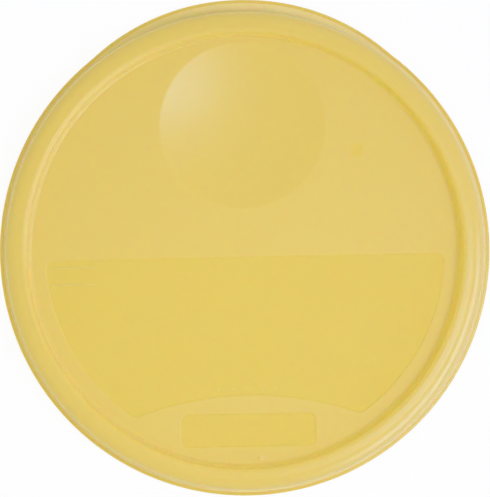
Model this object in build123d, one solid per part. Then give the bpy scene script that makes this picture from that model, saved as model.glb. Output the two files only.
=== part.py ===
from build123d import *
import os
from math import acos, cos, radians, sin, sqrt, tan

# A round clip-on lid for a food storage container, moulded in one piece from soft polyethylene.
# A rim with an inverted channel grips the container's rolled edge: a skirt with a snap bead on
# the outside, a tapered plug wall with a sealing rib on the inside. The plug wall steps down to
# a recessed floor with a round thumb dish, a textured writing field and a plain plate. A lip
# runs round the skirt's foot and widens into a pull tab.
#
# The moulding is held as named zones that meet face to face, one file for each zone.
# Frame: +Z up, +Y towards the pull tab, origin on the lid's axis in the plane it stands on.

# ---- Driving sizes, in millimetres and degrees ----

LIP_R = 132.0  # outer radius of the lip, away from the pull tab
HEIGHT = 19.0  # from the plane the lid stands on to the top of its rim
WALL = 1.5  # wall of the whole moulding

LIP_WIDTH = 3.4  # how far the lip stands out from the skirt
LIP_THICK = 2.6
LIP_UPRIGHT = 0.2  # upright part of the lip's edge, between its two rounded corners
LIP_FOOT_ROUND = 0.4

TAB_REACH = 3.3  # how far the pull tab stands out past the lip
TAB_CROWN_ANGLE = 4.0  # half the span of the tab's crown, which follows the lip
TAB_SIDE_OFFSET = 17.3  # from the lid's axis to the centre of each tapering side
TAB_ROOT_R = 300.0  # radius of the hollow where each side runs into the lip

SHOULDER_R = 7.5  # rounded outer corner of the rim
LAND_WIDTH = 11.45  # across the top of the rim, from the skirt to the step's corner
LAND_SLOPE = 5.0  # fall of the rim's top, outwards from the level
LAND_EDGE_R = 3.0  # rounded inner corner of the rim
RECESS_DEPTH = 7.0  # from the top of the rim down to the floor
STEP_DRAFT = 16.0  # lean of the step wall from upright
FOOT_R = 1.5  # hollow corner between the step wall and the floor

BEAD_REACH = 0.8  # how far the snap bead stands in from the skirt
BEAD_LIFT = 0.6  # from the skirt's foot to the bead
BEAD_LAND = 2.0  # straight part of the bead
BEAD_RAMP = 1.0  # height of the bead's lead-in, and of its catch

RIB_REACH = 0.8  # how far the sealing rib stands out from the plug wall
RIB_LAND = 1.8  # straight part of the rib
RIB_RAMP = 0.5  # height of each of the rib's flanks

DISH_R = 44.4
DISH_DEPTH = 4.2
DISH_MARGIN = 2.25  # flat left between the dish and the step's foot

FIELD_MARGIN = 6.45  # flat left between the writing field and the step's foot
FIELD_TOP_DROP = 2.9  # the field's straight top edge lies this far below the lid's middle
FIELD_ARCH_R = 172.5  # radius of the arch that is the field's lower edge
FIELD_ARCH_GAP = 9.5  # from the plate up to the crown of the arch
FIELD_CORNER_R = 5.0
FIELD_SINK = 0.3  # depth of the field below the floor

PLATE_WIDTH = 72.8
PLATE_HEIGHT = 18.0
PLATE_CORNER_R = 4.0
PLATE_MARGIN = 8.65  # flat left between the plate and the step's foot
PLATE_SINK = 0.3  # depth of the plate below the floor

DISC_R = 3.75  # round insert mark
DISC_SINK = 0.2
DISC_FROM_AXIS = 81.0
DISC_ANGLE = 40.7  # from +X towards +Y

PIP_R = 0.6  # tiny moulding pip beside the step's foot
PIP_RISE = 0.3
PIP_MARGIN = 2.45  # from the pip's middle to the step's foot
PIP_ANGLE = -87.0  # from +X towards +Y

DOT_R = 0.7  # row of small plain dots above the arch
DOT_RISE = 0.2
DOT_COUNT = 5
DOT_PITCH = 7.75
DOT_MARGIN = 3.4  # from the dots' middles to the crown of the arch

RULE_LENGTH = 24.0  # plain ruled lines at the field's upper left
RULE_WIDTH = 0.6
RULE_RISE = 0.2
RULE_COUNT = 2
RULE_PITCH = 9.0
RULE_MARGIN = 2.0  # from the field's rounded edge to the lower line's end

# ---- Sizes worked out from the driving sizes ----

LEAN = radians(STEP_DRAFT)
SLOPE = radians(LAND_SLOPE)

# A rounded corner's tangent length over its radius, at the step's foot, its crest and the shoulder.
FOOT_TURN = tan((radians(90) - LEAN) / 2)
CREST_TURN = tan((radians(90) - LEAN + SLOPE) / 2)
SHOULDER_TURN = tan((radians(90) - SLOPE) / 2)

SKIRT_R = LIP_R - LIP_WIDTH  # outside of the skirt
SKIRT_INNER_R = SKIRT_R - WALL
THROAT_R = SKIRT_INNER_R - BEAD_REACH  # the narrowest place inside the skirt
FLOOR_TOP = HEIGHT - RECESS_DEPTH
FLOOR_UNDER = FLOOR_TOP - WALL

# The crest corner, where the land meets the step wall, stands as far above the rim's top as its
# rounding takes away.
CREST_R = SKIRT_R - LAND_WIDTH
CREST_Z = HEIGHT + LAND_EDGE_R * (CREST_TURN * sin(SLOPE) + cos(SLOPE) - 1)
SHOULDER_Z = CREST_Z - LAND_WIDTH * tan(SLOPE)  # corner where the land meets the skirt
SKIRT_TOP = SHOULDER_Z - SHOULDER_R * SHOULDER_TURN
STEP_FOOT_R = CREST_R - (CREST_Z - FLOOR_TOP) * tan(LEAN)  # corner of the step wall and the floor
FLOOR_R = STEP_FOOT_R - FOOT_R * FOOT_TURN  # edge of the flat floor
PLUG_TOP = CREST_Z - LAND_EDGE_R * CREST_TURN * cos(LEAN) - WALL * sin(LEAN)
PLUG_FOOT = FLOOR_UNDER + (FOOT_R + WALL) * FOOT_TURN * cos(LEAN)
CHANNEL_R = (CREST_R + SKIRT_R) / 2  # middle of the rim's channel

DISH_Y = FLOOR_R - DISH_MARGIN - DISH_R
FIELD_R = FLOOR_R - FIELD_MARGIN
PLATE_Y = -(FLOOR_R - PLATE_MARGIN - PLATE_HEIGHT / 2)
ARCH_CROWN_Y = PLATE_Y + PLATE_HEIGHT / 2 + FIELD_ARCH_GAP
DOT_Y = ARCH_CROWN_Y + DOT_MARGIN
RULE_Y = -(FIELD_TOP_DROP + RULE_PITCH * RULE_COUNT) + RULE_PITCH / 2


def plug_outer_r(z):
    """Radius of the plug wall's outer face at height z, on its straight part."""
    return STEP_FOOT_R + (z - FLOOR_TOP) * tan(LEAN) + WALL / cos(LEAN)


RIB_MIDDLE = (PLUG_TOP + PLUG_FOOT) / 2
RIB_R = plug_outer_r(RIB_MIDDLE) + RIB_REACH


# ---- Round zones: half sections in the XZ plane, turned about the lid's axis ----


def shell_section():
    """Half section of the whole shell, from the axis out to the skirt's foot."""
    over = Plane.XZ * FilletPolyline(
        (0, FLOOR_TOP),
        (STEP_FOOT_R, FLOOR_TOP),
        (CREST_R, CREST_Z),
        (SKIRT_R, SHOULDER_Z),
        (SKIRT_R, 0),
        radius=[FOOT_R, LAND_EDGE_R, SHOULDER_R],
    )
    under_crest = (
        CREST_R + WALL * (CREST_TURN * cos(SLOPE) - sin(SLOPE)),
        CREST_Z - WALL * (CREST_TURN * sin(SLOPE) + cos(SLOPE)),
    )
    under = Plane.XZ * FilletPolyline(
        (0, FLOOR_UNDER),
        (STEP_FOOT_R + WALL * FOOT_TURN, FLOOR_UNDER),
        under_crest,
        (SKIRT_INNER_R, SHOULDER_Z + WALL * tan(SLOPE) - WALL / cos(SLOPE)),
        (SKIRT_INNER_R, 0),
        radius=[FOOT_R + WALL, max(LAND_EDGE_R - WALL, 0.0), SHOULDER_R - WALL],
    )
    axis_end = Line(over @ 0, under @ 0)
    foot_end = Line(over @ 1, under @ 1)
    return make_face([*over.edges(), foot_end, *under.edges(), axis_end])


def window(r_low, r_high, z_low, z_high):
    """Rectangle of the section plane that picks one zone out of the shell."""
    width, height = r_high - r_low, z_high - z_low
    middle = Pos(r_low + width / 2, z_low + height / 2)
    return Plane.XZ * middle * Rectangle(width, height)


def bump(root_r, tip_r, middle_z, land, ramp):
    """Section of a raised ring on an upright wall: a straight land between two ramps."""
    half_land, half_root = land / 2, land / 2 + ramp
    return Plane.XZ * make_face(
        Polyline(
            (root_r, middle_z - half_root),
            (tip_r, middle_z - half_land),
            (tip_r, middle_z + half_land),
            (root_r, middle_z + half_root),
            close=True,
        )
    )


def turned(section):
    """The section turned once about the lid's axis."""
    return revolve(section, axis=Axis.Z)


def rim_zones():
    """The shell's three ring zones: plug wall, crown and skirt."""
    shell = shell_section()
    plug = shell & window(FLOOR_R, CHANNEL_R, 0, PLUG_TOP)
    skirt = shell & window(CHANNEL_R, SKIRT_R + WALL, -WALL, SKIRT_TOP)
    inner_crown = shell & window(FLOOR_R, CHANNEL_R, PLUG_TOP, HEIGHT + WALL)
    outer_crown = shell & window(CHANNEL_R, SKIRT_R + WALL, SKIRT_TOP, HEIGHT + WALL)
    return {
        "plug_wall": turned(plug),
        "rim_crown": turned(inner_crown + outer_crown),
        "skirt_wall": turned(skirt),
    }


def snap_bead():
    """Ring inside the skirt's foot that snaps under the container's rolled edge."""
    middle_z = BEAD_LIFT + BEAD_RAMP + BEAD_LAND / 2
    return turned(bump(SKIRT_INNER_R, THROAT_R, middle_z, BEAD_LAND, BEAD_RAMP))


def seal_rib():
    """Ring outside the plug wall that seals against the container's inner wall."""
    root_r = plug_outer_r(RIB_MIDDLE) - WALL / 2
    ring = bump(root_r, RIB_R, RIB_MIDDLE, RIB_LAND, RIB_RAMP)
    return turned(ring - shell_section())


# ---- Lip and pull tab ----


def at_bearing(distance, bearing):
    """Point at a distance from the lid's axis, at a bearing from +Y towards +X."""
    return (distance * sin(bearing), distance * cos(bearing))


def lip_outline():
    """Outer outline of the lip seen from above: tangent arcs, with the pull tab at +Y."""
    crown_r, root_r = LIP_R + TAB_REACH, LIP_R + TAB_ROOT_R
    side_r = crown_r - TAB_SIDE_OFFSET
    crown_end = radians(TAB_CROWN_ANGLE)
    cosine = TAB_SIDE_OFFSET**2 + root_r**2 - (side_r + TAB_ROOT_R) ** 2
    tab_end = crown_end + acos(cosine / (2 * TAB_SIDE_OFFSET * root_r))
    side_centre = Vector(*at_bearing(TAB_SIDE_OFFSET, crown_end))
    root_centre = Vector(*at_bearing(root_r, tab_end))
    side_end = side_centre + (root_centre - side_centre).normalized() * side_r

    crown = ThreePointArc(at_bearing(crown_r, -crown_end), (0, crown_r), at_bearing(crown_r, crown_end))
    side = RadiusArc(crown @ 1, side_end, side_r)
    root = RadiusArc(side @ 1, at_bearing(LIP_R, tab_end), -TAB_ROOT_R)
    plain = ThreePointArc(root @ 1, (0, -LIP_R), at_bearing(LIP_R, -tab_end))
    other_side, other_root = mirror(side, about=Plane.YZ), mirror(root, about=Plane.YZ)
    return make_face([crown, side, root, plain, *other_root.edges(), *other_side.edges()])


def grip_lip():
    """Flat ring round the skirt's foot, rounded along its outer edge."""
    plain = extrude(lip_outline(), LIP_THICK)
    top_edge = plain.edges().group_by(Axis.Z)[-1]
    topped = fillet(top_edge, LIP_THICK - LIP_UPRIGHT - LIP_FOOT_ROUND)
    foot_edge = topped.edges().group_by(Axis.Z)[0]
    rounded = fillet(foot_edge, LIP_FOOT_ROUND)
    hole = Cylinder(SKIRT_R, LIP_THICK, align=(Align.CENTER, Align.CENTER, Align.MIN))
    return rounded - hole


# ---- Floor and what is set into it ----


def field_outline():
    """D-shaped outline: straight top, round sides, and an arch cut out of the bottom."""
    below = Pos(0, -FIELD_TOP_DROP - FIELD_R) * Rectangle(2 * FIELD_R, 2 * FIELD_R)
    arch = Pos(0, ARCH_CROWN_Y - FIELD_ARCH_R) * Circle(FIELD_ARCH_R)
    shape = (Circle(FIELD_R) & below) - arch
    return fillet(shape.vertices(), FIELD_CORNER_R)


def floor_outlines():
    """Outline of each zone that is set into the floor, seen from above."""
    turn = radians(DISC_ANGLE)
    disc_place = Pos(DISC_FROM_AXIS * cos(turn), DISC_FROM_AXIS * sin(turn))
    turn, reach = radians(PIP_ANGLE), FLOOR_R - PIP_MARGIN
    pip_place = Pos(reach * cos(turn), reach * sin(turn))
    plate = RectangleRounded(PLATE_WIDTH, PLATE_HEIGHT, PLATE_CORNER_R)
    return {
        "thumb_dish": Pos(0, DISH_Y) * Circle(DISH_R),
        "writing_field": field_outline(),
        "plain_plate": Pos(0, PLATE_Y) * plate,
        "insert_mark": disc_place * Circle(DISC_R),
        "mould_pip": pip_place * Circle(PIP_R),
    }


def slab(outline, top):
    """The outline as a slab from the floor's underside up to top."""
    return extrude(Pos(0, 0, FLOOR_UNDER) * outline, top - FLOOR_UNDER)


def thumb_dish():
    """Shallow ball-shaped dish, as thick as the floor that it hangs from."""
    ball_r = (DISH_R**2 + DISH_DEPTH**2) / (2 * DISH_DEPTH)
    centre_z = FLOOR_TOP - DISH_DEPTH + ball_r
    half_way = (DISH_R / 2, centre_z - sqrt(ball_r**2 - (DISH_R / 2) ** 2))
    over = ThreePointArc((0, FLOOR_TOP - DISH_DEPTH), half_way, (DISH_R, FLOOR_TOP))
    under = Pos(0, -WALL) * over
    rim = Line(over @ 1, under @ 1)
    middle = Line(under @ 0, over @ 0)
    section = Plane.XZ * make_face([over, rim, *under.edges(), middle])
    return Pos(0, DISH_Y, 0) * revolve(section, axis=Axis.Z)


def floor_zones():
    """The flat floor and the zones set into it."""
    outlines = floor_outlines()
    floor = Circle(FLOOR_R)
    for outline in outlines.values():
        floor -= outline
    return {
        "floor_panel": slab(floor, FLOOR_TOP),
        "thumb_dish": thumb_dish(),
        "writing_field": slab(outlines["writing_field"], FLOOR_TOP - FIELD_SINK),
        "plain_plate": slab(outlines["plain_plate"], FLOOR_TOP - PLATE_SINK),
        "insert_mark": slab(outlines["insert_mark"], FLOOR_TOP - DISC_SINK),
        "mould_pip": slab(outlines["mould_pip"], FLOOR_TOP + PIP_RISE),
    }


# ---- Small raised marks on the writing field ----


def dot_row():
    """Row of plain dots just above the arch."""
    first_x = -DOT_PITCH * (DOT_COUNT - 1) / 2
    base = FLOOR_TOP - FIELD_SINK
    places = [Pos(first_x + DOT_PITCH * i, DOT_Y, base) for i in range(DOT_COUNT)]
    return Compound([extrude(place * Circle(DOT_R), DOT_RISE).solid() for place in places])


def label_rules():
    """Plain ruled lines to write on, level with the field's upper left corner."""
    start_x = RULE_MARGIN - sqrt(FIELD_R**2 - RULE_Y**2)
    base = FLOOR_TOP - FIELD_SINK
    line = Rectangle(RULE_LENGTH, RULE_WIDTH, align=(Align.MIN, Align.CENTER))
    places = [Pos(start_x, RULE_Y + RULE_PITCH * i, base) for i in range(RULE_COUNT)]
    return Compound([extrude(place * line, RULE_RISE).solid() for place in places])


# ---- All zones, one file each ----

zones = {
    **rim_zones(),
    "snap_bead": snap_bead(),
    "seal_rib": seal_rib(),
    "grip_lip": grip_lip(),
    **floor_zones(),
    "dot_row": dot_row(),
    "label_rules": label_rules(),
}

os.makedirs("parts", exist_ok=True)
for name, zone in zones.items():
    export_step(zone, f"parts/{name}.step")

print(f"throat radius {THROAT_R:.3f}, from z {BEAD_LIFT + BEAD_RAMP:.3f} for {BEAD_LAND}")
print(f"sealing rib radius {RIB_R:.3f}, middle at z {RIB_MIDDLE:.3f}, land {RIB_LAND}")
print(f"floor edge radius {FLOOR_R:.3f}, dish at y {DISH_Y:.3f}, plate at y {PLATE_Y:.3f}")
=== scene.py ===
from math import acos, atan2, ceil, cos, hypot, pi, radians, sin, sqrt, tan

import bmesh
import bpy
import numpy as np
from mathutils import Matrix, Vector
from mathutils.geometry import delaunay_2d_cdt


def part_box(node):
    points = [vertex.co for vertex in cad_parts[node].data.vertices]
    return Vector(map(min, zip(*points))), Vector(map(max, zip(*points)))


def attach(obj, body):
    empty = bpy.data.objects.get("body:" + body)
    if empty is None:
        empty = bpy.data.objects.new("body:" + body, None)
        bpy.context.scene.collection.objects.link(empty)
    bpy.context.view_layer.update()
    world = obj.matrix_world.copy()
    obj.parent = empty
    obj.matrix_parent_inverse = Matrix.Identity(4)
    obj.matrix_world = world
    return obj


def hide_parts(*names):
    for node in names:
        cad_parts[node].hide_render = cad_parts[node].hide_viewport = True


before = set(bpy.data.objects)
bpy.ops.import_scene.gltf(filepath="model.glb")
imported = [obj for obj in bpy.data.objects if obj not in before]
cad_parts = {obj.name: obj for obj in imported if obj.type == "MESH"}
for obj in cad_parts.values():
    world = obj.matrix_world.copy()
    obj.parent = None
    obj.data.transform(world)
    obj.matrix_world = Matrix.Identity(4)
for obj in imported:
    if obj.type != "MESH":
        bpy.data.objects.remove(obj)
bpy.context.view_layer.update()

# A round clip-on lid, seen from straight above on a pale ground. The CAD frame holds the moulding
# as zones; here it is one seamless skin of soft, slightly translucent polyethylene, as the real
# moulding is, with the zones' own places and sizes. Metres, +Z up, +Y towards the pull tab.

MM = 0.001

# ---- Sizes read from the frame ----

LIP_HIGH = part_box("grip_lip")[1]
SKIRT_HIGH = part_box("skirt_wall")[1]
FLOOR_LOW, FLOOR_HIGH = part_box("floor_panel")
BEAD_LOW, BEAD_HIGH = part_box("snap_bead")
RIB_LOW, RIB_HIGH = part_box("seal_rib")
DISH_LOW, DISH_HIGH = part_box("thumb_dish")
FIELD_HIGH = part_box("writing_field")[1]
PLATE_LOW, PLATE_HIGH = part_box("plain_plate")
DISC_LOW, DISC_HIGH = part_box("insert_mark")
PIP_LOW, PIP_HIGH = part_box("mould_pip")
DOTS_LOW, DOTS_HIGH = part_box("dot_row")
RULES_LOW, RULES_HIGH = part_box("label_rules")

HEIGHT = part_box("rim_crown")[1].z
LIP_R = LIP_HIGH.x
LIP_TOP = LIP_HIGH.z
CROWN_R = LIP_HIGH.y  # the pull tab's outermost edge
SKIRT_R = SKIRT_HIGH.x
FLOOR_R = FLOOR_HIGH.x
FLOOR_TOP = FLOOR_HIGH.z
FLOOR_UNDER = FLOOR_LOW.z
WALL = FLOOR_TOP - FLOOR_UNDER
SKIRT_INNER_R = BEAD_HIGH.x
CHANNEL_R = SKIRT_INNER_R - 5 * MM  # somewhere in the open channel, between skirt and step

DISH_CENTRE = (DISH_LOW + DISH_HIGH) / 2
DISH_R = (DISH_HIGH.x - DISH_LOW.x) / 2
DISH_DEPTH = FLOOR_UNDER - DISH_LOW.z

# ---- Sizes that a box doesn't hold, as in the part ----

SHOULDER_R = 7.5 * MM
LAND_EDGE_R = 3.0 * MM  # rounded inner corner of the rim
FOOT_R = 1.5 * MM  # hollow corner between the step wall and the floor
LEAN = radians(16)  # of the step wall from upright
SLOPE = radians(5)  # fall of the rim's top, outwards from the level
BEAD_REACH = 0.8 * MM
BEAD_RAMP = 1.0 * MM
RIB_RAMP = 0.5 * MM
RIB_REACH = 0.8 * MM
LIP_TOP_ROUND = 2.0 * MM
LIP_FOOT_ROUND = 0.4 * MM
CREASE_R = 0.4 * MM  # hollow corner between the skirt and the lip

TAB_CROWN_END = radians(4)  # half the span of the tab's crown
TAB_SIDE_OFFSET = 17.3 * MM  # from the axis to the centre of each tapering side
TAB_ROOT_R = 300 * MM  # hollow where each side runs into the lip

FIELD_CORNER_R = 5 * MM
FIELD_MARGIN = 6.45 * MM  # from the floor's edge to the field's round sides
ARCH_R = 172.5 * MM  # the arch that is the writing field's lower edge
ARCH_GAP = 9.5 * MM  # from the plate up to the crown of the arch
PLATE_CORNER_R = 4 * MM
DOT_COUNT = 5
GRAINED = ("field", "plate", "disc")  # what the fine grain covers
RULE_WIDTH = 0.6 * MM
SET_EDGE = 0.6 * MM  # width of the soft edge round the field and the plate
ROUND_EDGE = 0.7  # width of a round mark's soft edge, as a share of its radius
DISH_EDGE = 0.16 * MM  # depth over which the dish's edge is softened

# ---- How the wall takes the light ----

PALE_FROM = 1.05  # the lip is pale from this far in, in radii of its rounded edge
PALE_TURN = 0.5  # and turns from deep to pale over this many of them
SKIRT_GLOW = 0.33  # the skirt's glow, as a share of the step's
GLOW_IN = 0.25  # the step's glow sets in over this share of its height
GLOW_END, GLOW_OUT = 0.85, 0.3  # and ends at this share, fading over the second

# ---- How fine the mesh is ----

TURNS = 480  # steps round the lid
ROUND_STEP = radians(5)  # largest turn between two points of a rounded corner
GUARD = 0.35 * MM  # ring beside a rounded corner, which keeps its shading off the flat
OUTLINE_STEP = 1.6 * MM
LATTICE_STEP = 4.5 * MM
LATTICE_GAP = 0.4  # least gap between the lattice and an outline, in lattice steps
WELD_GAP = 0.002 * MM


# ---- Section of the rim ----


def corner_arc(before, corner, after):
    """Points (r, z, slide) of the arc that rounds a corner (r, z, slide, radius)."""
    here = np.array(corner[:2])
    back, ahead = np.array(before[:2]) - here, np.array(after[:2]) - here
    back, ahead = back / np.linalg.norm(back), ahead / np.linalg.norm(ahead)
    half = acos(np.clip(back @ ahead, -1, 1)) / 2
    slide, radius = corner[2:]
    start = here + back * radius / tan(half)
    middle = here + (back + ahead) / np.linalg.norm(back + ahead) * radius / sin(half)
    spoke = start - middle
    turn = -np.sign(back[0] * ahead[1] - back[1] * ahead[0]) * (pi - 2 * half)
    steps = max(2, ceil(abs(turn) / ROUND_STEP))
    points = []
    for angle in np.linspace(0, turn, steps + 1):
        across = spoke[0] * cos(angle) - spoke[1] * sin(angle)
        upward = spoke[0] * sin(angle) + spoke[1] * cos(angle)
        points.append((middle[0] + across, middle[1] + upward, slide))
    return points


def rounded(corners):
    """Points (r, z, slide) along straight runs whose corners are arcs, with guards on long runs."""
    pieces = [[corners[0][:3]]]
    pieces += [corner_arc(*three) for three in zip(corners, corners[1:], corners[2:])]
    pieces.append([corners[-1][:3]])
    line = []
    for piece in pieces:
        if line:
            start, end = np.array(line[-1]), np.array(piece[0])
            length = hypot(*(end - start)[:2])
            if length > 3 * GUARD:
                guard = (end - start) * GUARD / length
                line += [tuple(start + guard), tuple(end - guard)]
            elif length < 0.001 * MM:
                line.pop()
        line += piece
    return line


def rim_section():
    """The rim's section, from the floor's top edge out over the rim and back under the floor."""
    foot_turn = tan((radians(90) - LEAN) / 2)
    crest_turn = tan((radians(90) - LEAN + SLOPE) / 2)
    foot = FLOOR_R + FOOT_R * foot_turn
    crest_z = HEIGHT + LAND_EDGE_R * (crest_turn * sin(SLOPE) + cos(SLOPE) - 1)
    crest = foot + (crest_z - FLOOR_TOP) * tan(LEAN)
    under_foot = foot + WALL * foot_turn
    under_crest = crest + WALL * (crest_turn * cos(SLOPE) - sin(SLOPE))
    under_crest_z = crest_z - WALL * (crest_turn * sin(SLOPE) + cos(SLOPE))
    shoulder_z = crest_z - (SKIRT_R - crest) * tan(SLOPE)
    under_shoulder_z = shoulder_z + WALL * tan(SLOPE) - WALL / cos(SLOPE)
    throat = SKIRT_INNER_R - BEAD_REACH
    rib_low, rib_high = RIB_LOW.z, RIB_HIGH.z

    def plug(z):
        return under_foot + (z - FLOOR_UNDER) * tan(LEAN)

    rib_middle = (rib_low + rib_high) / 2
    rib_tip = plug(rib_middle) + RIB_REACH
    tiny, small = 0.15 * MM, 0.3 * MM  # roundings of the bead's and the rib's corners
    return rounded([
        (FLOOR_R, FLOOR_TOP, 0, 0),
        (foot, FLOOR_TOP, 0, FOOT_R),
        (crest, crest_z, 0, LAND_EDGE_R),
        (SKIRT_R, shoulder_z, 0, SHOULDER_R),
        (SKIRT_R, LIP_TOP, 0, CREASE_R),
        (LIP_R, LIP_TOP, 1, LIP_TOP_ROUND),
        (LIP_R, 0, 1, LIP_FOOT_ROUND),
        (SKIRT_INNER_R, 0, 0, tiny),
        (SKIRT_INNER_R, BEAD_LOW.z, 0, tiny),
        (throat, BEAD_LOW.z + BEAD_RAMP, 0, small),
        (throat, BEAD_HIGH.z - BEAD_RAMP, 0, small),
        (SKIRT_INNER_R, BEAD_HIGH.z, 0, tiny),
        (SKIRT_INNER_R, under_shoulder_z, 0, SHOULDER_R - WALL),
        (under_crest, under_crest_z, 0, LAND_EDGE_R - WALL),
        (plug(rib_high), rib_high, 0, tiny / 3),
        (rib_tip, rib_high - RIB_RAMP, 0, tiny / 3),
        (rib_tip, rib_low + RIB_RAMP, 0, tiny / 3),
        (plug(rib_low), rib_low, 0, tiny / 3),
        (under_foot, FLOOR_UNDER, 0, FOOT_R + WALL),
        (FLOOR_R, FLOOR_UNDER, 0, 0),
    ])


def lip_reach(bearing):
    """How far the lip stands out past its plain round edge, at a bearing from +Y."""
    side_r = CROWN_R - TAB_SIDE_OFFSET
    root_far = LIP_R + TAB_ROOT_R
    cosine = TAB_SIDE_OFFSET**2 + root_far**2 - (side_r + TAB_ROOT_R) ** 2
    tab_end = TAB_CROWN_END + acos(cosine / (2 * TAB_SIDE_OFFSET * root_far))
    side = Vector((sin(TAB_CROWN_END), cos(TAB_CROWN_END))) * TAB_SIDE_OFFSET
    root = Vector((sin(tab_end), cos(tab_end))) * root_far
    meeting = side + (root - side).normalized() * side_r
    side_end = atan2(meeting.x, meeting.y)
    turn = abs(bearing)
    if turn <= TAB_CROWN_END:
        return CROWN_R - LIP_R
    if turn <= side_end:
        swing = turn - TAB_CROWN_END
        across = TAB_SIDE_OFFSET * sin(swing)
        return TAB_SIDE_OFFSET * cos(swing) + sqrt(side_r**2 - across**2) - LIP_R
    if turn <= tab_end:
        swing = tab_end - turn
        across = root_far * sin(swing)
        return root_far * cos(swing) - sqrt(TAB_ROOT_R**2 - across**2) - LIP_R
    return 0.0


def lip_light_at(r, z):
    """Painted light through the plastic: 1 on the lip's thin flat, painted paler as lit through and
    out of the skirt's shade, -1 on its rounded edge, painted deeper as lit far through, 0 elsewhere."""
    if r > SKIRT_R and z < LIP_TOP + CREASE_R:
        from_edge = (LIP_R - r) / LIP_TOP_ROUND
        return float(np.clip(1 + 2 * (from_edge - PALE_FROM) / PALE_TURN, -1, 1))
    return 0.0


def glow_at(r, z):
    """How much painted light gathers in the wall: 1 in the step's hollow, a third on the skirt,
    which is lit from both sides, and 0 on the floor, the land and the lip."""
    shoulder = SKIRT_R - SHOULDER_R
    if r > shoulder:
        share = min((r - shoulder) / SHOULDER_R, 1)
        return SKIRT_GLOW * share if z > LIP_TOP + CREASE_R / 2 else 0.0
    if r > CHANNEL_R or z < FLOOR_TOP - WALL / 3:
        return 0.0
    rise = (z - FLOOR_TOP) / (HEIGHT - FLOOR_TOP)
    return float(np.clip(rise / GLOW_IN, 0, 1) * np.clip((GLOW_END - rise) / GLOW_OUT, 0, 1))


def rim_ring():
    """Vertices, shades and quads of the rim, its section turned about the lid's axis."""
    section = rim_section()
    vertices, lip_lights, glows, faces = [], [], [], []
    for i in range(TURNS):
        bearing = (2 * pi * i / TURNS + pi) % (2 * pi) - pi
        reach = lip_reach(bearing)
        for r, z, slide in section:
            out = r + slide * reach
            vertices.append((out * sin(bearing), out * cos(bearing), z))
            lip_lights.append(lip_light_at(r, z))
            glows.append(glow_at(r, z))
    count = len(section)
    for i in range(TURNS):
        here, there = i * count, (i + 1) % TURNS * count
        for j in range(count - 1):
            faces.append((here + j, here + j + 1, there + j + 1, there + j))
    return vertices, {"lip_light": lip_lights, "glow": glows}, faces


# ---- Outlines on the floor ----


def arc(centre, radius, start, end, step=OUTLINE_STEP):
    """Points along an arc, without its last one. Angles run from +X towards +Y."""
    count = max(3, ceil(abs(end - start) * radius / step))
    angles = np.linspace(start, end, count, endpoint=False)
    return [(centre[0] + radius * cos(a), centre[1] + radius * sin(a)) for a in angles]


def run(start, end, step=OUTLINE_STEP):
    """Points along a straight run, without its last one."""
    count = max(1, ceil(hypot(end[0] - start[0], end[1] - start[1]) / step))
    return [tuple(p) for p in np.linspace(start, end, count, endpoint=False)]


def circle(centre, radius, step=OUTLINE_STEP):
    """Closed round outline."""
    return arc(centre, radius, 0, 2 * pi, step)


def rounded_box(low, high, corner, step=OUTLINE_STEP):
    """Closed outline of an upright rectangle with round corners."""
    left, right = low[0] + corner, high[0] - corner
    bottom, top = low[1] + corner, high[1] - corner
    fine = min(step, corner / 4)
    return [
        *arc((right, top), corner, 0, pi / 2, fine),
        *run((right, top + corner), (left, top + corner), step),
        *arc((left, top), corner, pi / 2, pi, fine),
        *run((left - corner, top), (left - corner, bottom), step),
        *arc((left, bottom), corner, pi, 3 * pi / 2, fine),
        *run((left, bottom - corner), (right, bottom - corner), step),
        *arc((right, bottom), corner, 3 * pi / 2, 2 * pi, fine),
        *run((right + corner, bottom), (right + corner, top), step),
    ]


def field_outline():
    """Closed D-shaped outline: straight top, round sides and an arch cut out of the bottom."""
    radius, corner = FLOOR_R - FIELD_MARGIN, FIELD_CORNER_R
    inner = radius - corner
    top = FIELD_HIGH.y
    arch_y = PLATE_HIGH.y + ARCH_GAP - ARCH_R
    high_y = top - corner
    high_x = sqrt(inner**2 - high_y**2)
    low_y = (inner**2 - (ARCH_R + corner) ** 2 + arch_y**2) / (2 * arch_y)
    low_x = sqrt(inner**2 - low_y**2)
    high, low = atan2(high_y, high_x), atan2(low_y, low_x)
    drop = atan2(arch_y - low_y, low_x)
    rise = atan2(low_y - arch_y, low_x)
    fine = corner / 6
    return [
        *arc((0, 0), radius, low, high),
        *arc((high_x, high_y), corner, high, pi / 2, fine),
        *run((high_x, top), (-high_x, top)),
        *arc((-high_x, high_y), corner, pi / 2, pi - high, fine),
        *arc((0, 0), radius, pi - high, pi - low),
        *arc((-low_x, low_y), corner, pi - low, 2 * pi + drop, fine),
        *arc((0, arch_y), ARCH_R, pi - rise, rise),
        *arc((low_x, low_y), corner, -pi - drop, low, fine),
    ]


def inset(outline, distance):
    """The outline moved inwards by a distance."""
    points = np.array(outline)
    along = np.roll(points, -1, axis=0) - np.roll(points, 1, axis=0)
    along /= np.linalg.norm(along, axis=1)[:, None]
    return points + distance * np.column_stack([-along[:, 1], along[:, 0]])


def inside(points, outline):
    """Whether each point lies inside a closed outline."""
    x, y = points[:, 0, None], points[:, 1, None]
    ax, ay = np.array(outline).T
    bx, by = np.roll(ax, -1), np.roll(ay, -1)
    crossed = (ay > y) != (by > y)
    with np.errstate(divide="ignore", invalid="ignore"):
        at = ax + (y - ay) * (bx - ax) / (by - ay)
    return (crossed & (x < at)).sum(axis=1) % 2 == 1


# ---- The floor: one sheet with its dish, field, plate and marks pressed into it ----


def smooth(t):
    """Soft step from 0 to 1."""
    return t * t * (3 - 2 * t)


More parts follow.
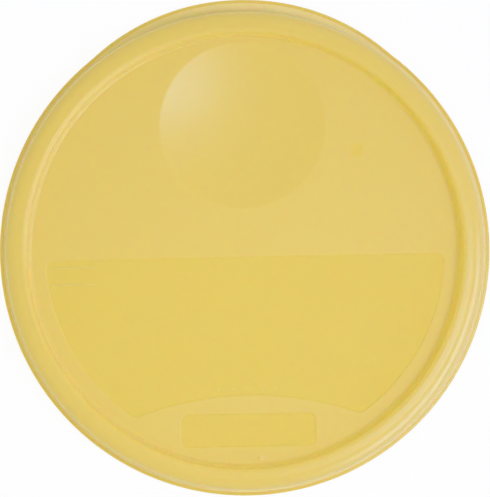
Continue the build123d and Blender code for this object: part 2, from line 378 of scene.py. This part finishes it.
def dish_drop(x, y):
    """How far the thumb dish lowers the floor at a point, with a softened edge."""
    ball_r = (DISH_R**2 + DISH_DEPTH**2) / (2 * DISH_DEPTH)
    away = hypot(x - DISH_CENTRE.x, y - DISH_CENTRE.y)
    if away > DISH_R * 1.2:  # well past the softened edge
        return 0.0
    ball = ball_r - DISH_DEPTH - sqrt(ball_r**2 - away**2)
    blend = max(DISH_EDGE - abs(ball), 0) / DISH_EDGE
    return min(ball, 0.0) - blend**2 * DISH_EDGE / 4


def middle_of(low, high):
    """Middle of a box in plan."""
    return ((low.x + high.x) / 2, (low.y + high.y) / 2)


class Impression:
    """A shape pressed into the floor, or raised from it, with a soft edge."""

    def __init__(self, outline, rise, edge, steps, guarded=True):
        self.outline = outline
        self.rise = rise
        self.edge = edge
        self.steps = steps
        self.guarded = guarded
        self.half_way = inset(outline, edge / 2)

    def loops(self):
        """Outlines and how far each is raised, from outside in."""
        if self.guarded:
            yield inset(self.outline, -2 * GUARD), 0.0
        for t in np.linspace(0, 1, self.steps + 1):
            yield inset(self.outline, self.edge * t), self.rise * smooth(t)
        if self.guarded:
            yield inset(self.outline, self.edge + 2 * GUARD), self.rise


def impressions():
    """Everything set into the floor apart from the dish, by name."""
    disc_r = (DISC_HIGH.x - DISC_LOW.x) / 2
    pip_r = (PIP_HIGH.x - PIP_LOW.x) / 2
    plate = rounded_box(PLATE_LOW, PLATE_HIGH, PLATE_CORNER_R)
    disc = circle(middle_of(DISC_LOW, DISC_HIGH), disc_r, disc_r / 6)
    pip = circle(middle_of(PIP_LOW, PIP_HIGH), pip_r, pip_r / 4)
    return {
        "field": Impression(field_outline(), FIELD_HIGH.z - FLOOR_TOP, SET_EDGE, 4),
        "plate": Impression(plate, PLATE_HIGH.z - FLOOR_TOP, SET_EDGE, 4),
        "disc": Impression(disc, DISC_HIGH.z - FLOOR_TOP, ROUND_EDGE * disc_r, 6),
        "pip": Impression(pip, PIP_HIGH.z - FLOOR_TOP, ROUND_EDGE * pip_r, 3, guarded=False),
    }


def lattice():
    """Evenly spread points over the floor, outside the dish."""
    points = []
    row_step = LATTICE_STEP * sqrt(3) / 2
    rows = int(FLOOR_R / row_step)
    for row in range(-rows, rows + 1):
        shift = LATTICE_STEP / 2 * (row % 2)
        columns = int(FLOOR_R / LATTICE_STEP) + 1
        for column in range(-columns, columns + 1):
            x, y = column * LATTICE_STEP + shift, row * row_step
            near_dish = hypot(x - DISH_CENTRE.x, y - DISH_CENTRE.y) < DISH_R + LATTICE_STEP / 2
            if hypot(x, y) < FLOOR_R - LATTICE_STEP / 2 and not near_dish:
                points.append((x, y))
    return np.array(points)


def dish_radii():
    """Radii of the rings that the dish is meshed with: close at its edge, then even."""
    close = [DISH_R + step * MM for step in (1.5, 1.0, 0.6, 0.3, 0, -0.3, -0.6, -1.0, -1.5, -2.2)]
    even = np.linspace(DISH_R - 5 * MM, 4 * MM, 10)
    return [*close, *even]


def floor_sheet(marks):
    """Points of the floor's top and underside, the triangles that both share, and which of
    those are grained."""
    points, rises, edges = [], [], []

    def add_loop(outline, rise):
        first, count = len(points), len(outline)
        points.extend(tuple(p) for p in outline)
        rises.extend([rise] * count)
        edges.extend((first + i, first + (i + 1) % count) for i in range(count))

    bearings = [2 * pi * i / TURNS for i in range(TURNS)]  # the rim's own, so that they weld
    add_loop([(FLOOR_R * sin(b), FLOOR_R * cos(b)) for b in bearings], 0.0)
    add_loop(circle((0, 0), FLOOR_R - 2 * GUARD), 0.0)
    for mark in marks.values():
        for outline, rise in mark.loops():
            add_loop(outline, rise)
    for radius in dish_radii():
        step = max(2 * pi * radius / 160, MM)
        add_loop(circle((DISH_CENTRE.x, DISH_CENTRE.y), radius, step), 0.0)

    even = lattice()
    looped = np.array(points)
    gaps = np.sqrt(((even[:, None] - looped[None]) ** 2).sum(axis=2)).min(axis=1)
    even = even[gaps > LATTICE_STEP * LATTICE_GAP]
    raised = np.zeros(len(even))
    for mark in marks.values():
        raised[inside(even, mark.half_way)] = mark.rise
    points.extend(map(tuple, even))
    rises.extend(raised)

    flat = [Vector(p) for p in points]
    found, _, faces, origins, _, _ = delaunay_2d_cdt(flat, edges, [], 0, 1e-9)
    places = np.array(found)
    rise = np.array([rises[o[0]] for o in origins])
    drop = np.array([dish_drop(x, y) for x, y in places])
    top = np.column_stack([places, FLOOR_TOP + drop + rise])
    under = np.column_stack([places, FLOOR_UNDER + drop])
    corners = np.array(faces)
    centres = places[corners].mean(axis=1)
    grained = np.any([inside(centres, marks[name].outline) for name in GRAINED], axis=0)
    return top, under, corners, grained


# ---- Meshes ----


def mesh_object(name, vertices, faces):
    """New object with smooth faces."""
    mesh = bpy.data.meshes.new(name)
    mesh.from_pydata([tuple(v) for v in vertices], [], [tuple(int(i) for i in f) for f in faces])
    mesh.polygons.foreach_set("use_smooth", [True] * len(mesh.polygons))
    made = bpy.data.objects.new(name, mesh)
    bpy.context.scene.collection.objects.link(made)
    return made


def weld(made):
    """Joins vertices that share a place, and turns every face outwards."""
    shape = bmesh.new()
    shape.from_mesh(made.data)
    bmesh.ops.remove_doubles(shape, verts=shape.verts, dist=WELD_GAP)
    bmesh.ops.recalc_face_normals(shape, faces=shape.faces)
    shape.to_mesh(made.data)
    shape.free()


def lid_shell():
    """The whole moulding as one closed skin: material 0 is plain, material 1 is grained."""
    rim_vertices, rim_shades, rim_faces = rim_ring()
    top, under, corners, grained = floor_sheet(impressions())
    vertices = [*rim_vertices, *top, *under]
    first_top = len(rim_vertices)
    first_under = first_top + len(top)
    faces = [*rim_faces, *(corners + first_top), *((corners + first_under)[:, ::-1])]
    kinds = [0] * len(rim_faces) + [int(g) for g in grained] + [0] * len(corners)
    made = mesh_object("lid_shell", vertices, faces)
    made.data.polygons.foreach_set("material_index", kinds)
    for shade, values in rim_shades.items():
        attribute = made.data.attributes.new(shade, "FLOAT", "POINT")
        attribute.data.foreach_set("value", values + [0.0] * (len(top) + len(under)))
    weld(made)
    return made


def pillows(name, outlines, base, rise, edge, steps=3):
    """Low raised pads with soft edges, each a closed form bedded a little into the floor."""
    bed = 0.1 * MM  # depth of that bedding
    vertices, faces = [], []
    for outline in outlines:
        rings = [(np.array(outline), base - bed), (np.array(outline), base)]
        for t in np.linspace(0, 1, steps + 1)[1:]:
            turn = t * pi / 2
            rings.append((inset(outline, edge * (1 - cos(turn))), base + rise * sin(turn)))
        first, count = len(vertices), len(outline)
        for ring, z in rings:
            vertices.extend((x, y, z) for x, y in ring)
        for level in range(len(rings) - 1):
            low, high = first + level * count, first + (level + 1) * count
            for i in range(count):
                j = (i + 1) % count
                faces.append((low + i, low + j, high + j, high + i))
        faces.append(tuple(first + i for i in reversed(range(count))))
        faces.append(tuple(first + (len(rings) - 1) * count + i for i in range(count)))
    return mesh_object(name, vertices, faces)


def dots():
    """Row of small plain domes above the arch."""
    radius = (DOTS_HIGH.y - DOTS_LOW.y) / 2
    y = (DOTS_HIGH.y + DOTS_LOW.y) / 2
    places = np.linspace(DOTS_LOW.x + radius, DOTS_HIGH.x - radius, DOT_COUNT)
    outlines = [circle((x, y), radius, radius / 4) for x in places]
    rise = DOTS_HIGH.z - DOTS_LOW.z
    return pillows("small_dots", outlines, DOTS_LOW.z, rise, radius * ROUND_EDGE)


def rules():
    """Two plain raised lines to write on."""
    corner, edge = 0.49 * RULE_WIDTH, 0.3 * RULE_WIDTH
    outlines = []
    for y in (RULES_LOW.y, RULES_HIGH.y - RULE_WIDTH):
        low, high = (RULES_LOW.x, y), (RULES_HIGH.x, y + RULE_WIDTH)
        outlines.append(rounded_box(low, high, corner, MM))
    return pillows("ruled_lines", outlines, RULES_LOW.z, RULES_HIGH.z - RULES_LOW.z, edge)


# ---- Materials ----

PLAIN_YELLOW = (0.767, 0.590, 0.1125, 1)
CLOUDED_YELLOW = (0.765, 0.586, 0.110, 1)  # faint soft patches in the plain surface
GRAIN_YELLOW = (0.762, 0.584, 0.0936, 1)
PALE_LIP_LIGHT = (0.950, 0.790, 0.320, 1)  # painted paler on the lip's thin flat: light through it, and a lift out of the skirt's shade
DEEP_EDGE_LIGHT = (0.820, 0.620, 0.080, 1)  # painted deeper on the lip's rounded edge, as light gone far through it
LIT_GLOW = (0.920, 0.720, 0.260, 1)  # painted light inside a wall that faces the key
SHADED_GLOW = (0.900, 0.690, 0.110, 1)  # painted light inside a wall that faces away from it
MARK_YELLOW = (0.790, 0.620, 0.150, 1)  # the dots and the ruled lines


class Nodes:
    """Shorthand for building the node tree of a new material, or of the world."""

    def __init__(self, owner):
        self.owner = owner
        owner.use_nodes = True
        self.tree = owner.node_tree
        self.tree.nodes.clear()

    def add(self, kind, **settings):
        made = self.tree.nodes.new(kind)
        for key, value in settings.items():
            setattr(made, key, value)
        return made

    def set(self, made, **values):
        for key, value in values.items():
            made.inputs[key.replace("_", " ")].default_value = value
        return made

    def link(self, source, target):
        self.tree.links.new(source, target)


def noise(nodes, place, scale, detail, roughness=0.5):
    """Noise pattern in the lid's own coordinates, in steps per metre."""
    made = nodes.add("ShaderNodeTexNoise")
    nodes.set(made, Scale=scale, Detail=detail, Roughness=roughness)
    nodes.link(place, made.inputs["Vector"])
    return made


def spread(nodes, value, low, high, to_low, to_high):
    """A value's range stretched to another."""
    made = nodes.add("ShaderNodeMapRange")
    made.inputs["From Min"].default_value = low
    made.inputs["From Max"].default_value = high
    made.inputs["To Min"].default_value = to_low
    made.inputs["To Max"].default_value = to_high
    nodes.link(value, made.inputs["Value"])
    return made.outputs["Result"]


def mixed(nodes, amount, one, other):
    """Colour between two, each a colour or a socket."""
    made = nodes.add("ShaderNodeMix", data_type="RGBA")
    nodes.link(amount, made.inputs["Factor"])
    for socket, colour in zip(("A", "B"), (one, other)):
        target = [s for s in made.inputs if s.name == socket and s.type == "RGBA"][0]
        if isinstance(colour, tuple):
            target.default_value = colour
        else:
            nodes.link(colour, target)
    return [s for s in made.outputs if s.type == "RGBA"][0]


def bumped(nodes, height, strength, distance, normal=None):
    """Bump from a height pattern."""
    made = nodes.add("ShaderNodeBump")
    nodes.set(made, Strength=strength, Distance=distance)
    nodes.link(height, made.inputs["Height"])
    if normal is not None:
        nodes.link(normal, made.inputs["Normal"])
    return made.outputs["Normal"]


def glow_colour(nodes):
    """Painted colour of the light inside a wall: pale where the wall faces +X, towards the key, and
    deep on its shaded side.
    """
    facing = nodes.add("ShaderNodeVectorMath", operation="DOT_PRODUCT")
    facing.inputs[1].default_value = (1, 0, 0)
    nodes.link(nodes.add("ShaderNodeTexCoord").outputs["Normal"], facing.inputs[0])
    share = spread(nodes, facing.outputs["Value"], -1, 1, 0, 1)
    return mixed(nodes, share, SHADED_GLOW, LIT_GLOW)


def polyethylene(name, plain, clouded, rough_low, rough_high, bump, depth=0.85):
    """Soft waxy plastic that light sinks into, with its painted lip light and painted wall glow from
    the mesh.
    """
    nodes = Nodes(bpy.data.materials.new(name))
    place = nodes.add("ShaderNodeTexCoord").outputs["Object"]
    clouds = noise(nodes, place, 14, 3).outputs["Fac"]
    colour = mixed(nodes, spread(nodes, clouds, 0.35, 0.65, 0, 1), plain, clouded)
    # painted light on the lip: paler on its thin flat, deeper on its rounded edge
    lip_light = nodes.add("ShaderNodeAttribute", attribute_name="lip_light").outputs["Fac"]
    colour = mixed(nodes, spread(nodes, lip_light, 0, 1, 0, 1), colour, PALE_LIP_LIGHT)
    colour = mixed(nodes, spread(nodes, lip_light, 0, -1, 0, 1), colour, DEEP_EDGE_LIGHT)
    glow = nodes.add("ShaderNodeAttribute", attribute_name="glow").outputs["Fac"]
    colour = mixed(nodes, glow, colour, glow_colour(nodes))

    shader = nodes.add("ShaderNodeBsdfPrincipled")
    nodes.set(shader, IOR=1.51, Specular_IOR_Level=0.5)
    nodes.set(shader, Subsurface_Weight=depth, Subsurface_Scale=1.0 * MM)
    shader.inputs["Subsurface Radius"].default_value = (1.0, 0.6, 0.15)
    shader.inputs["Specular Tint"].default_value = (0.5, 0.75, 1.0, 1)
    nodes.link(colour, shader.inputs["Base Color"])
    scuffs = noise(nodes, place, 60, 4).outputs["Fac"]
    nodes.link(spread(nodes, scuffs, 0.3, 0.7, rough_low, rough_high), shader.inputs["Roughness"])
    nodes.link(bump(nodes, place), shader.inputs["Normal"])
    output = nodes.add("ShaderNodeOutputMaterial")
    nodes.link(shader.outputs["BSDF"], output.inputs["Surface"])
    return nodes.owner


def moulded_bump(nodes, place):
    """Faint waves of a large thin moulding, and a very fine skin."""
    waves = noise(nodes, place, 22, 2).outputs["Fac"]
    skin = noise(nodes, place, 2600, 3).outputs["Fac"]
    return bumped(nodes, skin, 0.12, 0.02 * MM, bumped(nodes, waves, 0.15, 0.25 * MM))


def grain_bump(nodes, place):
    """Even, fine, eroded grain for writing on."""
    grain = noise(nodes, place, 1500, 4, 0.6).outputs["Fac"]
    return bumped(nodes, grain, 0.6, 0.06 * MM)


def dress_lid():
    """Makes every piece of the lid and gives it its material."""
    plain = polyethylene("lid_plain", PLAIN_YELLOW, CLOUDED_YELLOW, 0.29, 0.33, moulded_bump)
    grained = polyethylene("lid_grained", GRAIN_YELLOW, GRAIN_YELLOW, 0.62, 0.72, grain_bump)
    marked = polyethylene("lid_marks", MARK_YELLOW, MARK_YELLOW, 0.5, 0.55, moulded_bump, depth=0.0)
    shell = lid_shell()
    shell.data.materials.append(plain)
    shell.data.materials.append(grained)
    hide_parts("grip_lip", "skirt_wall", "snap_bead", "rim_crown", "plug_wall", "seal_rib",
                "floor_panel", "thumb_dish", "writing_field", "plain_plate", "insert_mark", "mould_pip")
    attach(shell, "root")
    for piece, node in ((dots(), "dot_row"), (rules(), "label_rules")):
        piece.data.materials.append(marked)
        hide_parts(node)
        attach(piece, "root")


# ---- Ground, light and camera ----

WHITE = (1.0, 1.0, 1.0)
COOL = (0.52, 0.71, 1.0)  # the gloss lights
COLD = (0.42, 0.42, 1.0)  # the key
GROUND_WHITE = 0.9  # share of plain white in what is seen of the ground
GROUND_HALF = 6.0  # half the ground's side
GROUND_DROP = 0.05 * MM  # from the lid's foot down to the ground


def seen_directly(nodes):
    """1 for what the camera, gloss or glass sees, and 0 for what lights matt surfaces."""
    path = nodes.add("ShaderNodeLightPath")
    seen = path.outputs["Is Camera Ray"]
    for ray in ("Is Glossy Ray", "Is Transmission Ray"):
        either = nodes.add("ShaderNodeMath", operation="MAXIMUM")
        nodes.link(seen, either.inputs[0])
        nodes.link(path.outputs[ray], either.inputs[1])
        seen = either.outputs[0]
    return seen


def white_ground():
    """Pale ground that the camera and gloss see as white, and that keeps a faint shadow."""
    x = y = GROUND_HALF
    ground = mesh_object("ground", [(-x, -y, 0), (x, -y, 0), (x, y, 0), (-x, y, 0)], [(0, 1, 2, 3)])
    ground.location.z = -GROUND_DROP
    nodes = Nodes(bpy.data.materials.new("ground_white"))
    share = nodes.add("ShaderNodeMath", operation="MULTIPLY")
    share.inputs[1].default_value = GROUND_WHITE
    nodes.link(seen_directly(nodes), share.inputs[0])
    matte = nodes.set(nodes.add("ShaderNodeBsdfDiffuse"), Color=(0.9, 0.9, 0.9, 1))
    white = nodes.set(nodes.add("ShaderNodeEmission"), Color=(1, 1, 1, 1), Strength=1.0)
    both = nodes.add("ShaderNodeMixShader")
    nodes.link(share.outputs[0], both.inputs[0])
    nodes.link(matte.outputs[0], both.inputs[1])
    nodes.link(white.outputs[0], both.inputs[2])
    output = nodes.add("ShaderNodeOutputMaterial")
    nodes.link(both.outputs[0], output.inputs["Surface"])
    ground.data.materials.append(nodes.owner)


def studio_world(strength):
    """Surroundings that are seen as white, and that light the matt part with a strength."""
    world = bpy.data.worlds.new("studio")
    bpy.context.scene.world = world
    nodes = Nodes(world)
    level = spread(nodes, seen_directly(nodes), 0, 1, strength, 1)
    background = nodes.set(nodes.add("ShaderNodeBackground"), Color=(*WHITE, 1))
    nodes.link(level, background.inputs["Strength"])
    output = nodes.add("ShaderNodeOutputWorld")
    nodes.link(background.outputs["Background"], output.inputs["Surface"])


def softbox(name, place, width, height, brightness, colour, matte=True, mirrored=True):
    """Rectangular soft light at a place, aimed at the lid. Its face glows with that brightness,
    where 1 is a white surface in full light. It can be left out of the matte or the mirror light."""
    data = bpy.data.lights.new(name, "AREA")
    data.shape = "RECTANGLE"
    data.size, data.size_y = width, height
    data.energy = 4 * brightness * width * height
    data.color = colour
    light = bpy.data.objects.new(name, data)
    bpy.context.scene.collection.objects.link(light)
    light.location = place
    light.rotation_euler = Vector(place).to_track_quat("Z", "Y").to_euler()
    light.visible_camera = False
    light.visible_diffuse = matte
    light.visible_glossy = mirrored


def towards(direction, elevation, distance):
    """Place at a distance from the lid. Direction runs from +X towards +Y, in degrees."""
    turn, lift = radians(direction), radians(elevation)
    return Vector((cos(lift) * cos(turn), cos(lift) * sin(turn), sin(lift))) * distance


def overhead_camera():
    """Long lens straight above the lid, framed and turned as a copy-stand picture."""
    distance = 3.0
    long_side = 268.0 * MM  # what the picture's long side takes in, at the ground
    data = bpy.data.cameras.new("camera")
    data.sensor_width = 36
    data.lens = data.sensor_width * distance / long_side
    data.clip_start, data.clip_end = 0.1, 20
    camera = bpy.data.objects.new("camera", data)
    bpy.context.scene.collection.objects.link(camera)
    roll = radians(-1.2)
    up_shift, right_shift = 1.25 * MM, 0.17 * MM  # of the picture's middle from the lid's axis
    camera.location = (
        right_shift * cos(roll) - up_shift * sin(roll),
        right_shift * sin(roll) + up_shift * cos(roll),
        distance,
    )
    camera.rotation_euler = (0, 0, roll)
    bpy.context.scene.camera = camera


def light_studio():
    """White surroundings, a cold key from the right, a fill above the middle, and two
    lights that only the gloss shows: a high one in the dish and a low one on the shoulder."""
    studio_world(0.71)
    softbox("key", towards(-12, 52, 1.5), 0.5, 0.5, 7.9, COLD, mirrored=False)
    softbox("fill", (-0.02, -0.05, 0.4), 0.3, 0.3, 1.25, WHITE, mirrored=False)
    softbox("sheen_high", towards(-28, 70, 5.0), 1.4, 1.4, 8.0, COOL, matte=False)
    softbox("sheen_low", towards(-32, 14, 0.9), 1.1, 0.6, 4.2, COOL, matte=False)


dress_lid()
white_ground()
light_studio()
overhead_camera()
bpy.context.scene.view_settings.view_transform = "Standard"
